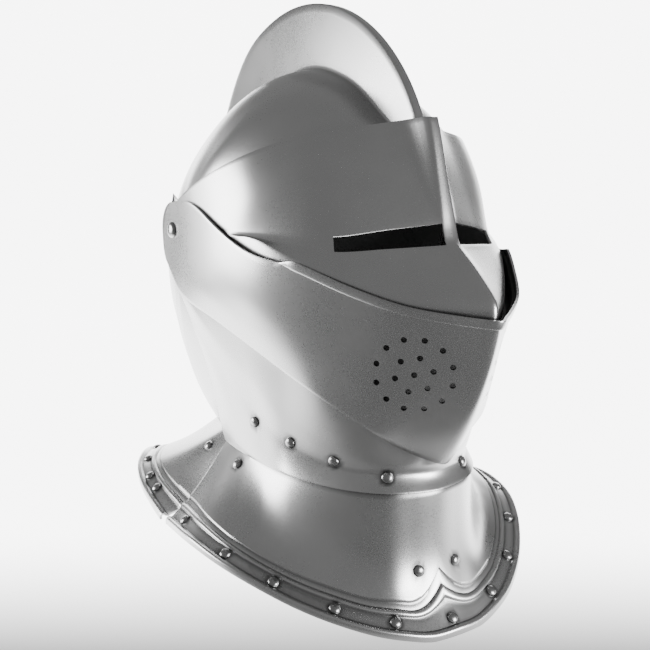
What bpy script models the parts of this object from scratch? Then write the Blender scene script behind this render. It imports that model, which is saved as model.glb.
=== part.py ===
"""A close helmet: combed skull, visor, upper and lower bevor, and a gorget plate front and rear.

Sizes are in millimetres from the middle of the pivot axis until place() turns them into metres.
A plate's points are (across, ahead, up): across from the medial plane, ahead towards the face.
The face looks along -Y.
"""

import math
from collections import namedtuple

import bmesh
import bpy
from mathutils import Matrix, Vector
from mathutils.bvhtree import BVHTree

MM = 0.001
OBJECT = "close_helmet"
CUTTERS = "cutters"

HALF_WIDTH = 97.5  # medial plane to the outer face of the upper bevor at the pivots
CROWN_RADIUS = 110.0  # skull beside the comb, straight above the pivots
COMB_RADIUS = 147.0  # edge of the comb
CREST_RADIUS = 157.5  # top of the visor's ridge
PROW_RADIUS = 205.0  # keel of the upper bevor
GORGET_HALF = 118.5  # widest half of the gorget's rim
GORGET_AHEAD = 176.0  # pivot axis to the front rim
GORGET_BEHIND = 154.0  # pivot axis to the rear rim
RIM_DROP = 227.0  # pivot axis down to the lowest stretch of the rim

PLATE = 1.5
SHEET_GAP = 0.5  # between plates that turn over each other
LAYER = PLATE + SHEET_GAP
VISOR_HALF = HALF_WIDTH - LAYER
THROAT_HALF = VISOR_HALF - LAYER
SKULL_HALF = THROAT_HALF - LAYER
THROAT_RADIUS = PROW_RADIUS - LAYER

COMB_EDGE_HALF = 3.2
COMB_FOOT_HALF = 6.4
FLANGE_HEIGHT = 4.2
FLANGE_TURN = 1.3
COLLAR = 6.0  # how far the gorget plates reach up inside the plates above
REST_TURN = 2.4  # height of the upright edge under the rim
NECK_INSET = 2.4  # from the skull's edge in to the rear gorget plate
SEAM_GAP = 1.0  # between the front and the rear gorget plate
NOTCH_WIDTH = 8.5  # the seam opens this far at the rim
NOTCH_LENGTH = 14.0

SLIT_INNER_END = 4.6
SLIT_LENGTH = 51.6
SLIT_INNER_HEIGHT = 10.6
SLIT_OUTER_HEIGHT = 6.6
SLIT_FRONT = CREST_RADIUS + 17.5
SLIT_BACK = SLIT_FRONT - 75.0
BREATH_RADIUS = 1.7
BREATH_RINGS = ((0.0, 1, 0.0), (10.6, 6, 47.0), (21.4, 12, 15.0))  # ring radius, holes, first angle
BREATH_CENTRE = (0.307, 0.888, -23.15)  # share of HALF_WIDTH, share of PROW_RADIUS, degrees

PIVOT_HOLE_RADIUS = 3.3
SKULL_HOLE_RADIUS = PIVOT_HOLE_RADIUS + 0.5
PIVOT_SHANK_RADIUS = 3.0
PIVOT_HEAD_RADIUS = 5.2
PIVOT_HEAD_HEIGHT = 2.6
RIVET_RADIUS = 3.5
RIVET_HEIGHT = 2.3
SEAT_GAP = 0.3
BOLT_GAP = 0.9  # from the bolt's inner end to the skull, which curves in round the hole

FRONT_REACH = (PROW_RADIUS + FLANGE_TURN) * math.cos(math.radians(11.2))
PIVOT_Y = (FRONT_REACH - GORGET_BEHIND) / 2.0

# Each row runs from the medial plane to the arm: shares of the plate's half width, shares of its
# radius about the pivot axis, and degrees above straight ahead.
Row = namedtuple("Row", "name across reach angle")
VISOR_ROWS = [
    Row("upper edge",
        (0, 0.0419, 0.0942, 0.3351, 0.5654, 0.6702, 0.8639, 0.9476, 0.9906, 1),
        (1, 0.9968, 0.9048, 0.8063, 0.7429, 0.6952, 0.5524, 0.4127, 0.2413, 0.1079),
        (25, 25.2, 27.3, 29, 30, 30.4, 32, 36, 48, 95)),
    Row("brow",
        (0, 0.0419, 0.0942, 0.3351, 0.5759, 0.6963, 0.8796, 0.955, 0.9927, 1),
        (0.9873, 0.9841, 0.9302, 0.8476, 0.7683, 0.7079, 0.5524, 0.4127, 0.2286, 0.1079),
        (14, 14, 14, 14, 14, 14.5, 15, 18, 22, 130)),
    Row("slit top",
        (0, 0.044, 0.0681, 0.3351, 0.5864, 0.712, 0.8901, 0.9581, 0.9927, 1),
        (1.0083, 1.0051, 0.9968, 0.9016, 0.8063, 0.7206, 0.5333, 0.4127, 0.2286, 0.1079),
        (3, 3, 2.9, 1.8, 0.4, 1.2, 2.4, 3, 4, 160)),
    Row("slit foot",
        (0, 0.044, 0.0681, 0.3455, 0.6021, 0.733, 0.8963, 0.9581, 0.9927, 1),
        (1.0317, 1.0254, 1.0159, 0.927, 0.8286, 0.7365, 0.546, 0.419, 0.2286, 0.1079),
        (-0.6, -1, -1.1, -1.9, -2.9, -2.2, 0.2, 1.2, -3, 185)),
    Row("ledge crease",
        (0, 0.0524, 0.1257, 0.377, 0.6073, 0.7958, 0.8984, 0.9581, 0.9927, 1),
        (1.2775, 1.2546, 1.2178, 1.073, 0.9098, 0.7479, 0.5905, 0.4317, 0.2286, 0.1079),
        (-9.4, -9.5, -9.8, -10.6, -8.8, -5.4, -0.6, -0.6, -12, 210)),
    Row("skirt edge",
        (0, 0.0524, 0.1257, 0.377, 0.6073, 0.7958, 0.9005, 0.9602, 0.9927, 1),
        (1.28, 1.2571, 1.2216, 1.0813, 0.9168, 0.7498, 0.5905, 0.4254, 0.2286, 0.1079),
        (-15.5, -15.8, -16.3, -17.6, -17, -16, -17, -24, -42, 265)),
]
BEVOR_ROWS = [
    Row("upper edge",
        (0, 0.0615, 0.2051, 0.4103, 0.6154, 0.8103, 0.9231, 0.9795, 0.9969, 1),
        (1, 0.978, 0.9268, 0.8439, 0.722, 0.5805, 0.4561, 0.3122, 0.1659, 0.0878),
        (-12.2, -12.3, -12.3, -12, -10.3, -6.8, -5.5, 2.7, 32, 100)),
    Row("mouth",
        (0, 0.0615, 0.2051, 0.4103, 0.6154, 0.8051, 0.9179, 0.9774, 0.9979, 1),
        (1, 0.9805, 0.922, 0.8366, 0.7171, 0.5805, 0.4585, 0.3171, 0.1512, 0.0878),
        (-20, -20, -20, -20, -20, -20, -20, -14, -5, 145)),
    Row("chin",
        (0, 0.0821, 0.2256, 0.4205, 0.6154, 0.7795, 0.8923, 0.9672, 0.9969, 1),
        (1, 0.982, 0.9268, 0.8561, 0.7341, 0.5927, 0.4585, 0.3171, 0.161, 0.0878),
        (-30, -30, -30, -30, -30, -30, -31.5, -34, -52, 190)),
    Row("lower edge",
        (0, 0.1026, 0.2564, 0.441, 0.6256, 0.7436, 0.8513, 0.9313, 0.9908, 1),
        (1.0024, 0.9756, 0.9268, 0.8732, 0.7537, 0.6049, 0.4561, 0.322, 0.2073, 0.1171),
        (-39, -39, -38.5, -36.2, -35.8, -38.4, -42.4, -51.5, -76, 236)),
]
THROAT_ROWS = [
    Row("upper edge",
        (0, 0.1283, 0.2888, 0.4706, 0.6417, 0.7594, 0.861, 0.9412, 0.9936, 1),
        (0.9986, 0.9631, 0.9015, 0.83, 0.7192, 0.5837, 0.4507, 0.3103, 0.1576, 0.0837),
        (-30.9, -31, -31, -31, -30, -29, -27, -22, 0, 95)),
    Row("chin",
        (0, 0.1176, 0.2781, 0.4599, 0.631, 0.7487, 0.8663, 0.9497, 0.9925, 1),
        (0.9987, 0.9631, 0.9138, 0.8547, 0.7512, 0.601, 0.4532, 0.3202, 0.1773, 0.0837),
        (-37.9, -38, -38, -36.8, -36.8, -39.6, -43.5, -53, -72, 190)),
    Row("under chin",
        (0, 0.139, 0.2888, 0.4599, 0.6096, 0.7219, 0.8289, 0.9198, 0.9754, 0.9947),
        (0.981, 0.972, 0.9487, 0.8954, 0.7997, 0.6736, 0.5212, 0.3886, 0.2602, 0.1721),
        (-41.1, -41.4, -42.1, -43.7, -46.6, -50.5, -53.5, -59.5, -71.2, 256.8)),
    Row("throat",
        (0, 0.1497, 0.2995, 0.4599, 0.5989, 0.7005, 0.7647, 0.8342, 0.893, 0.9412),
        (0.9953, 0.9864, 0.9643, 0.9133, 0.8386, 0.7495, 0.6373, 0.5252, 0.4114, 0.2962),
        (-42.7, -43, -43.9, -46.6, -50.8, -55.6, -60.9, -66.8, -73.3, 273.8)),
    Row("flare",
        (0, 0.1604, 0.3155, 0.4759, 0.6096, 0.7059, 0.7519, 0.7914, 0.8289, 0.8503),
        (1.0141, 1.0046, 0.9837, 0.936, 0.8701, 0.796, 0.716, 0.6389, 0.5509, 0.4451),
        (-43.2, -43.5, -44.5, -47.2, -51.5, -56.8, -63.4, -70.2, -75, 275.1)),
    Row("lower edge",
        (0, 0.1711, 0.3316, 0.492, 0.6203, 0.7166, 0.7561, 0.7701, 0.7733, 0.7658),
        (1.0454, 1.0354, 1.0143, 0.9658, 0.9036, 0.8366, 0.7732, 0.735, 0.7122, 0.6947),
        (-43.5, -43.9, -44.8, -47.6, -51.8, -57.6, -65.1, -71.6, -77.2, 276.9)),
]

# Skull sections by angle about the pivot axis: radius beside the comb as a share of CROWN_RADIUS,
# fullness of the section, and the radius of the comb's edge as a share of COMB_RADIUS.
Section = namedtuple("Section", "angle reach fullness comb")
SKULL_SECTIONS = [
    Section(22, 1.19, 2.3, 0),
    Section(27, 1.18, 2.3, 0.998),
    Section(34, 1.13, 2.35, 1),
    Section(42, 1.085, 2.4, 1),
    Section(51, 1.048, 2.35, 1),
    Section(61, 1.01, 2.15, 1),
    Section(72, 0.98, 1.98, 1),
    Section(84, 0.945, 1.85, 1),
    Section(96, 0.91, 1.75, 1),
    Section(108, 0.885, 1.7, 1),
    Section(120, 0.865, 1.7, 1),
    Section(132, 0.855, 1.7, 0.978),
    Section(144, 0.86, 1.7, 0.957),
    Section(156, 0.885, 1.7, 0.94),
    Section(168, 0.93, 1.72, 0.929),
    Section(180, 0.985, 1.76, 0.923),
    Section(192, 1.045, 1.82, 0.923),
    Section(204, 1.11, 1.95, 0.928),
    Section(216, 1.193, 2, 0.944),
    Section(227, 1.288, 2.02, 0.974),
    Section(238, 1.382, 2.02, 0),
    Section(242.3, 1.441, 2.02, 0),
]
# Below the nape and round the face opening: the section's radius, its fullness, and where the
# plate stops, both radii as shares of CROWN_RADIUS.
Edge = namedtuple("Edge", "angle reach fullness stop")
SKULL_EDGES = [
    Edge(243, 1.452, 2.01, 1.4385),
    Edge(244.8, 1.476, 2.01, 1.417),
    Edge(247.5, 1.512, 2.0, 1.3875),
    Edge(251, 1.56, 2.0, 1.3557),
    Edge(257, 1.64, 1.93, 1.315),
    Edge(268, 1.77, 1.79, 1.245),
    Edge(281, 1.87, 1.7, 1.225),
    Edge(292, 1.85, 1.7, 0.8),
    Edge(308, 1.6, 1.8, 0.55),
    Edge(330, 1.4, 2.1, 0.43),
    Edge(354, 1.3, 2.2, 0.44),
    Edge(373, 1.25, 2.3, 0.56),
]
UNDER_SKULL = 7  # how many points of the skull's lower edge the rear gorget's neck follows

# The gorget's rim from the medial plane outward: shares of GORGET_HALF, of GORGET_AHEAD or
# GORGET_BEHIND, and of RIM_DROP; hollow bends the plate inward between neck and rim.
Rim = namedtuple("Rim", "across along drop hollow")
FRONT_RIM = [
    Rim(0, 1, 1, 0.9),
    Rim(0.143, 0.993, 1, 0.9),
    Rim(0.278, 0.972, 0.985, 0.85),
    Rim(0.422, 0.932, 0.965, 0.75),
    Rim(0.591, 0.857, 0.933, 0.6),
    Rim(0.726, 0.773, 0.902, 0.45),
    Rim(0.852, 0.668, 0.8656, 0.33),
    Rim(0.948, 0.543, 0.836, 0.25),
    Rim(0.998, 0.364, 0.82, 0.2),
    Rim(0.9646, 0.082, 0.841, 0.2),
]
REAR_RIM = [
    Rim(0, 1, 1, 0.5),
    Rim(0.1772, 0.9838, 1, 0.5),
    Rim(0.3376, 0.9091, 0.9119, 0.4),
    Rim(0.4895, 0.8182, 0.8414, 0.3),
    Rim(0.6329, 0.7143, 0.7996, 0.25),
    Rim(0.7511, 0.6039, 0.7819, 0.25),
    Rim(0.8523, 0.474, 0.7885, 0.25),
    Rim(0.9198, 0.3117, 0.804, 0.25),
    Rim(0.9536, 0.1299, 0.8238, 0.25),
    Rim(0.9662, -0.0865, 0.8432, 0.25),
]
# Border relief: distance in from the rim, height above the plate, whether the cusp moves the line.
Line = namedtuple("Line", "inward height cusp")
BORDER = [
    Line(21.6, 0.0, 1.0),
    Line(20.6, -0.9, 1.0),
    Line(16.6, -0.9, 0.72),
    Line(15.8, 0.2, 0.72),
    Line(13.2, 0.2, 0.5),
    Line(12.2, -0.9, 0.5),
    Line(4.6, -0.9, 0.0),
    Line(3.6, 0.5, 0.0),
    Line(1.4, 0.9, 0.0),
]
RIVET_INWARD = 8.4  # rim to the middle of the sunken band
FRONT_RIVETS = (0.16, 0.345, 0.58, 0.785, 0.935)  # shares of the way from the middle to the seam
REAR_RIVETS = (0.2, 0.38, 0.56, 0.73, 0.83, 0.89)
# The other rivets of the gorget: share of the way to the seam, and distance down from the neck.
FRONT_MIDDLE_RIVET = (0.062, 46.0)
FRONT_SEAM_RIVET = (0.82, 10.5)
REAR_SEAM_RIVET = (0.84, 24.0)
NECK_RIVETS = ((4.3, 2.0), (3.7, 4.0), (3.8, 6.5), (4.3, 9.2))  # row and column of the grid
CUSP_RISE = 16.0
CUSP_HALF = 20.0


def polar(across, reach, angle):
    turn = math.radians(angle)
    return Vector((across, reach * math.cos(turn), reach * math.sin(turn)))


def local(point, side=1):
    """A (across, ahead, up) point in metres from the pivot centre, in the object's axes."""
    return Vector((side * point[0], -point[1], point[2])) * MM


def knot_span(a, b):
    return max((b - a).length, 1e-6) ** 0.5


def bend(before, start, end, after, share):
    """A point of the centripetal spline between start and end."""
    t1 = knot_span(before, start)
    t2 = t1 + knot_span(start, end)
    t3 = t2 + knot_span(end, after)
    t = t1 + (t2 - t1) * share
    a1 = before * ((t1 - t) / t1) + start * (t / t1)
    a2 = start * ((t2 - t) / (t2 - t1)) + end * ((t - t1) / (t2 - t1))
    a3 = end * ((t3 - t) / (t3 - t2)) + after * ((t - t2) / (t3 - t2))
    b1 = a1 * ((t2 - t) / t2) + a2 * (t / t2)
    b2 = a2 * ((t3 - t) / (t3 - t1)) + a3 * ((t - t1) / (t3 - t1))
    return b1 * ((t2 - t) / (t2 - t1)) + b2 * ((t - t1) / (t2 - t1))


def mirrored(point):
    return Vector((-point[0], point[1], point[2]))


def curve(knots, steps, corners=()):
    """A smooth run through knots that starts square to the medial plane, sharp at corners."""
    out = [knots[0].copy()]
    for k in range(len(knots) - 1):
        start, end = knots[k], knots[k + 1]
        if k == 0:
            before = mirrored(end)
        elif k in corners:
            before = start * 2 - end
        else:
            before = knots[k - 1]
        if k + 2 < len(knots) and k + 1 not in corners:
            after = knots[k + 2]
        else:
            after = end * 2 - start
        for i in range(1, steps[k] + 1):
            out.append(bend(before, start, end, after, i / steps[k]))
    return out


def fan(rows, half_width, radius, row_steps, steps, corners=()):
    """A plate's outer face for one side, as rows of points."""
    out = []
    for j in range(len(rows) - 1):
        high, low = rows[j], rows[j + 1]
        last = j == len(rows) - 2
        for i in range(row_steps[j] + (1 if last else 0)):
            t = i / row_steps[j]
            knots = []
            for k in range(len(high.across)):
                knots.append(
                    polar(
                        half_width * (high.across[k] * (1 - t) + low.across[k] * t),
                        radius * (high.reach[k] * (1 - t) + low.reach[k] * t),
                        high.angle[k] * (1 - t) + low.angle[k] * t,
                    )
                )
            out.append(curve(knots, steps, corners))
    return out


def normal_at(lattice, j, i):
    """The outward direction of the outer face at a point of the lattice."""
    above, below = lattice[max(j - 1, 0)][i], lattice[min(j + 1, len(lattice) - 1)][i]
    row = lattice[j]
    right = row[min(i + 1, len(row) - 1)]
    left = row[i - 1] if i else mirrored(row[1])
    across, down = right - left, below - above
    normal = down.cross(across)
    normal.normalize()
    return -normal if normal.dot(row[i] - Vector((0, 20, -60))) < 0 else normal


def flanged(lattice, last):
    """The lattice with a turned band added along its upper edge, up to column last."""
    root, high, low = [], [], []
    for i, point in enumerate(lattice[0]):
        share = 1.0 if i <= last else 0.12
        out = normal_at(lattice, 0, i)
        up = point - lattice[1][i]
        up.normalize()
        root.append(point)
        low.append(point + out * FLANGE_TURN * share + up * 0.3)
        high.append(point + out * FLANGE_TURN * share + up * FLANGE_HEIGHT * share)
    return [high, low, root] + lattice[1:]


def skull_lattice():
    """Rows by angle from the comb or the plate's edge down to the pivot hole."""
    sections = []
    for part in SKULL_SECTIONS:
        foot = section_point(part, COMB_FOOT_HALF)
        edge = max(part.comb * COMB_RADIUS, foot)
        comb_share = min(1.0, (edge - foot) / 4.0)
        row = [
            polar(0.0, edge, part.angle),
            polar(COMB_EDGE_HALF, edge - 0.9 * comb_share, part.angle),
            polar(COMB_FOOT_HALF, foot, part.angle),
        ]
        start = math.asin((COMB_FOOT_HALF / SKULL_HALF) ** (part.fullness / 2))
        row += arc_points(part, start, 7)
        sections.append((part.angle, row))
    for part in SKULL_EDGES:
        start = math.acos((part.stop / part.reach) ** (part.fullness / 2))
        row = arc_points(part, start, 9, True)
        sections.append((part.angle, row))
    rows = [row for _, row in sections]
    return rows + [rows[0]]


def section_point(part, across):
    crown = part.reach * CROWN_RADIUS
    return crown * (1 - (across / SKULL_HALF) ** part.fullness) ** (1 / part.fullness)


def arc_points(part, start, count, first=False):
    """Points of the skull's section from angle start to the pivot hole."""
    crown = part.reach * CROWN_RADIUS
    power = 2 / part.fullness
    end = math.acos((SKULL_HOLE_RADIUS / crown) ** (1 / power))
    out = []
    for i in range(0 if first else 1, count + 1):
        turn = start + (end - start) * i / count
        across = SKULL_HALF * math.sin(turn) ** power
        out.append(polar(across, crown * math.cos(turn) ** power, part.angle))
    return out


def inset(lattice, j, depth):
    return [p - normal_at(lattice, j, i) * depth for i, p in enumerate(lattice[j])]


def lerp(a, b, share):
    return a * (1 - share) + b * share


def wing(neck, rim, hollow):
    """The bare profile of a gorget plate from neck to rim, as close-set points."""
    out = []
    for i in range(41):
        v = i / 40
        h = lerp(v, v**4.2, hollow)
        point = lerp(neck, rim, h)
        point[2] = lerp(neck[2], rim[2], v)
        out.append(point)
    return out


def profile_length(line):
    return sum((line[k + 1] - line[k]).length for k in range(len(line) - 1))


def inward_of_rim(line, distance):
    """The point of a profile this far in from its end, and the profile's outward normal there."""
    left = distance
    for i in range(len(line) - 1, 0, -1):
        step = line[i - 1] - line[i]
        if left <= step.length or i == 1:
            point = line[i] + step * (left / step.length)
            break
        left -= step.length
    side = Vector((line[-1][0] - 0.0, line[-1][1] - 15.0, 0.0))
    side.normalize()
    along = -step.normalized()
    normal = side - along * side.dot(along)
    normal.normalize()
    return point, normal


def gorget_lattice(collar, neck, rim, hollow, cusp, notch=0.0):
    """Rows from inside the neck to the rim's upright edge, and the bare profiles."""
    rows = [collar, neck]
    columns, lines = [], []
    for i in range(len(neck)):
        ridge = 0.0
        if cusp and abs(rim[i][0]) < CUSP_HALF:
            ridge = CUSP_RISE * (1 - abs(rim[i][0]) / CUSP_HALF) ** 1.4
        end = rim[i] + Vector((0, 0, REST_TURN))
        line = wing(neck[i], end, hollow[i])
        lines.append(line)
        length = profile_length(line)
        border = [part.inward + part.cusp * ridge for part in BORDER]
        column = []
        for share in (0.3, 0.58, 0.82):
            column.append(inward_of_rim(line, length - (length - border[0]) * share)[0])
        for part, inward in zip(BORDER, border):
            point, normal = inward_of_rim(line, inward)
            column.append(point + normal * part.height)
        column.append(end)
        column.append(rim[i].copy())
        if i == len(neck) - 1:
            for k, inward in enumerate(border + [0.0, 0.0]):
                column[3 + k] = column[3 + k].copy()
                column[3 + k][1] -= notch * max(0.0, 1 - inward / NOTCH_LENGTH)
        columns.append(column)
    for j in range(len(columns[0])):
        rows.append([column[j] for column in columns])
    return rows, lines


def face_out(bm):
    bm.normal_update()
    bmesh.ops.recalc_face_normals(bm, faces=bm.faces)


def sheet(name, lattice, sides=(1, -1), thickness=PLATE):
    """An object of the outer face on both sides, made solid inward."""
    bm = bmesh.new()
    across, down = len(lattice[0]) - 1, len(lattice) - 1
    for side in sides:
        made = bmesh.ops.create_grid(bm, x_segments=across, y_segments=down, size=0.5)["verts"]
        low = min(v.co.x for v in made)
        span = max(v.co.x for v in made) - low
        for v in made:
            i = round((v.co.x - low) / span * across)
            j = round((v.co.y - low) / span * down)
            v.co = local(lattice[j][i], side)
    bmesh.ops.remove_doubles(bm, verts=bm.verts, dist=0.02 * MM)
    bmesh.ops.dissolve_degenerate(bm, edges=bm.edges, dist=0.01 * MM)
    face_out(bm)
    middle = across // 2
    spot, outward = local(lattice[1][middle]), local(normal_at(lattice, 1, middle))
    face = min(bm.faces, key=lambda f: (f.calc_center_median() - spot).length)
    if face.normal.dot(outward) < 0:
        bmesh.ops.reverse_faces(bm, faces=bm.faces)
    obj = add_object(name, bm)
    solid = obj.modifiers.new("Thickness", "SOLIDIFY")
    solid.thickness = thickness * MM
    solid.offset = -1
    solid.use_even_offset = True
    solid.use_quality_normals = True
    return obj


def add_object(name, bm, collection=None):
    mesh = bpy.data.meshes.new(name)
    bm.to_mesh(mesh)
    bm.free()
    obj = bpy.data.objects.new(name, mesh)
    (collection or bpy.data.collections[OBJECT]).objects.link(obj)
    return obj


def tree_of(obj):
    bm = bmesh.new()
    bm.from_mesh(obj.data)
    tree = BVHTree.FromBMesh(bm)
    bm.free()
    return tree


def steel(obj, shade, roughness):
    material = bpy.data.materials.new(obj.name)
    material.use_nodes = True
    shader = material.node_tree.nodes["Principled BSDF"]
    shader.inputs["Base Color"].default_value = (shade, shade, shade, 1)
    shader.inputs["Metallic"].default_value = 1
    shader.inputs["Roughness"].default_value = roughness
    obj.data.materials.clear()
    obj.data.materials.append(material)


def cutter(name, bm):
    obj = add_object(name, bm, bpy.data.collections[CUTTERS])
    obj.hide_render = True
    obj.display_type = "WIRE"
    return obj


def cut(obj, tool, solver="EXACT"):
    tool.parent = obj
    boolean = obj.modifiers.new(tool.name, "BOOLEAN")
    boolean.object = tool
    boolean.operation = "DIFFERENCE"
    boolean.solver = solver


def pivot_cutter(name):
    bm = bmesh.new()
    turn = Matrix.Rotation(math.radians(90), 4, "Y")
    bmesh.ops.create_cone(
        bm, cap_ends=True, segments=16, radius1=PIVOT_HOLE_RADIUS * MM,
        radius2=PIVOT_HOLE_RADIUS * MM, depth=2.4 * HALF_WIDTH * MM, matrix=turn,
    )
    return cutter(name, bm)


def slit_cutter(name, side):
    """A box through the brow, taller at its inner end."""
    bm = bmesh.new()
    bmesh.ops.create_cube(bm, size=2.0)
    outer = SLIT_INNER_END + SLIT_LENGTH
    for v in bm.verts:
        inner_end = v.co.x < 0
        across = SLIT_INNER_END if inner_end else outer
        if v.co.z > 0:
            up = 8.0 if inner_end else 0.6
        else:
            up = 8.0 - SLIT_INNER_HEIGHT if inner_end else 0.6 - SLIT_OUTER_HEIGHT
        v.co = local((across, SLIT_BACK if v.co.y > 0 else SLIT_FRONT, up), side)
    face_out(bm)
    return cutter(name, bm)


def breath_centre():
    across, reach, angle = BREATH_CENTRE
    return polar(across * HALF_WIDTH, reach * PROW_RADIUS, angle)


def breath_cutter(name, side, tree):
    """Round holes in rings on the bevor's flank."""
    bm = bmesh.new()
    centre, normal, _, _ = tree.find_nearest(local(breath_centre(), side))
    across = Vector((0, 0, 1)).cross(normal).normalized() * side
    up = normal.cross(across) * side
    for ring, count, first in BREATH_RINGS:
        for k in range(count):
            turn = math.radians(first + 360 * k / count)
            spot = centre + (across * math.cos(turn) + up * math.sin(turn)) * ring * MM
            point, lean, _, _ = tree.find_nearest(spot)
            aim = lean.to_track_quat("Z", "Y").to_matrix().to_4x4()
            bmesh.ops.create_cone(
                bm, cap_ends=True, segments=6, radius1=BREATH_RADIUS * MM,
                radius2=BREATH_RADIUS * MM, depth=4 * PLATE * MM,
                matrix=Matrix.Translation(point) @ aim,
            )
    return cutter(name, bm)


def turned(name, profile, segments):
    """A solid of revolution about +X from (radius, along) pairs, by spinning the profile."""
    bm = bmesh.new()
    verts = [bm.verts.new((along * MM, 0, radius * MM)) for radius, along in profile]
    edges = [bm.edges.new(pair) for pair in zip(verts, verts[1:])]
    bmesh.ops.spin(
        bm, geom=verts + edges, cent=(0, 0, 0), axis=(1, 0, 0), angle=2 * math.pi,
        steps=segments, use_merge=True,
    )
    bmesh.ops.remove_doubles(bm, verts=bm.verts, dist=0.001 * MM)
    face_out(bm)
    return add_object(name, bm)


def pivot_bolt(name, side, parent):
    """Clenched inside the skull, domed outside the arms."""
    inside = SKULL_HALF - PLATE - BOLT_GAP
    outside = HALF_WIDTH + SEAT_GAP
    profile = [
        (0.0, inside - 1.4),
        (PIVOT_HEAD_RADIUS, inside - 1.4),
        (PIVOT_HEAD_RADIUS, inside),
        (PIVOT_SHANK_RADIUS, inside),
        (PIVOT_SHANK_RADIUS, outside),
        (PIVOT_HEAD_RADIUS, outside),
        (PIVOT_HEAD_RADIUS * 0.8, outside + PIVOT_HEAD_HEIGHT * 0.65),
        (PIVOT_HEAD_RADIUS * 0.42, outside + PIVOT_HEAD_HEIGHT * 0.93),
        (0.0, outside + PIVOT_HEAD_HEIGHT),
    ]
    obj = turned(name, profile, 12)
    obj.parent = parent
    if side < 0:
        obj.rotation_euler = (0, 0, math.pi)
    steel(obj, 0.62, 0.22)
    return obj


def rivet(name, spot, tree, parent):
    """A dome seated just clear of the plate nearest to spot."""
    point, normal, _, _ = tree.find_nearest(spot)
    frame = normal.to_track_quat("X", "Z").to_matrix()
    rise = 0.0
    for k in range(12):
        turn = math.radians(30 * k)
        ring = frame @ Vector((0, math.cos(turn), math.sin(turn))) * RIVET_RADIUS * MM
        start = point + ring + normal * 5 * MM
        hit, _, _, distance = tree.ray_cast(start, -normal)
        if hit is not None and distance < 10 * MM:
            rise = max(rise, 5 * MM - distance)
    profile = [
        (0.0, 0.0),
        (RIVET_RADIUS, 0.0),
        (RIVET_RADIUS * 0.84, RIVET_HEIGHT * 0.55),
        (RIVET_RADIUS * 0.45, RIVET_HEIGHT * 0.9),
        (0.0, RIVET_HEIGHT),
    ]
    obj = turned(name, profile, 6)
    obj.parent = parent
    obj.location = point + normal * (rise + SEAT_GAP * MM)
    obj.rotation_mode = "QUATERNION"
    obj.rotation_quaternion = normal.to_track_quat("X", "Z")
    steel(obj, 0.62, 0.22)
    return obj


def both_sides(stem, spots, tree, parent):
    for k, spot in enumerate(spots):
        for side, word in ((-1, "right"), (1, "left")):
            rivet(f"{stem}_{word}_{k + 1}", local(spot, side), tree, parent)


def clear_scene():
    for obj in list(bpy.data.objects):
        bpy.data.objects.remove(obj)
    for name in (OBJECT, CUTTERS):
        collection = bpy.data.collections.get(name) or bpy.data.collections.new(name)
        if name not in bpy.context.scene.collection.children:
            bpy.context.scene.collection.children.link(collection)


def make_skull():
    lattice = skull_lattice()
    skull = sheet("skull", lattice)
    skull.location = Vector((0, PIVOT_Y, RIM_DROP)) * MM
    steel(skull, 0.56, 0.34)
    return skull, lattice


def make_visor(parent):
    lattice = fan(
        VISOR_ROWS, VISOR_HALF, CREST_RADIUS, (3, 2, 1, 3, 2), (1, 1, 2, 2, 2, 2, 1, 1, 2), (1, 2),
    )
    visor = sheet("visor", lattice)
    visor.parent = parent
    cut(visor, pivot_cutter("visor_pivot_cutter"))
    for side, word in ((-1, "right"), (1, "left")):
        cut(visor, slit_cutter(f"visor_slit_cutter_{word}", side), "MANIFOLD")
    steel(visor, 0.56, 0.34)
    return visor


def make_upper_bevor(parent):
    lattice = fan(
        BEVOR_ROWS, HALF_WIDTH, PROW_RADIUS, (2, 2, 2), (1, 1, 2, 2, 2, 2, 1, 1, 2),
    )
    bevor = sheet("upper_bevor", flanged(lattice, 8))
    bevor.parent = parent
    tree = tree_of(bevor)
    cut(bevor, pivot_cutter("upper_bevor_pivot_cutter"))
    for side, word in ((-1, "right"), (1, "left")):
        cut(bevor, breath_cutter(f"breath_cutter_{word}", side, tree))
    steel(bevor, 0.56, 0.34)
    return bevor


def make_lower_bevor(parent):
    lattice = fan(
        THROAT_ROWS, THROAT_HALF, THROAT_RADIUS, (1, 2, 1, 1, 1), (1, 1, 1, 2, 2, 2, 2, 1, 2),
    )
    bevor = sheet("lower_bevor", lattice)
    bevor.parent = parent
    tree = tree_of(bevor)
    cut(bevor, pivot_cutter("lower_bevor_pivot_cutter"))
    steel(bevor, 0.56, 0.34)
    both_sides("neck_rivet", [on_grid(lattice, *spot) for spot in NECK_RIVETS], tree, bevor)
    return bevor, lattice


def rim_points(table, along, steps):
    knots = [
        Vector((part.across * GORGET_HALF, part.along * along, -part.drop * RIM_DROP))
        for part in table
    ]
    bends = [Vector((i / (len(table) - 1), part.hollow, 0)) for i, part in enumerate(table)]
    return curve(knots, steps), [p[1] for p in curve(bends, steps)]


def make_front_gorget(parent, throat):
    steps = (1, 1, 1, 2, 2, 2, 2, 1, 2)
    rim, hollow = rim_points(FRONT_RIM, GORGET_AHEAD, steps)
    neck = inset(throat, len(throat) - 1, LAYER)
    upper = inset(throat, len(throat) - 2, LAYER)
    collar = []
    for low, high in zip(neck, upper):
        way = high - low
        way.normalize()
        collar.append(low + way * COLLAR)
    lattice, lines = gorget_lattice(collar, neck, rim, hollow, True)
    plate = sheet("front_gorget_plate", lattice)
    plate.parent = parent
    steel(plate, 0.56, 0.34)
    tree = tree_of(plate)
    rim_rivets("front_rim_rivet", lines, FRONT_RIVETS, tree, plate)
    both_sides("front_middle_rivet", [below_neck(lines, *FRONT_MIDDLE_RIVET)], tree, plate)
    both_sides("front_seam_rivet", [below_neck(lines, *FRONT_SEAM_RIVET)], tree, plate)
    return plate


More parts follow.
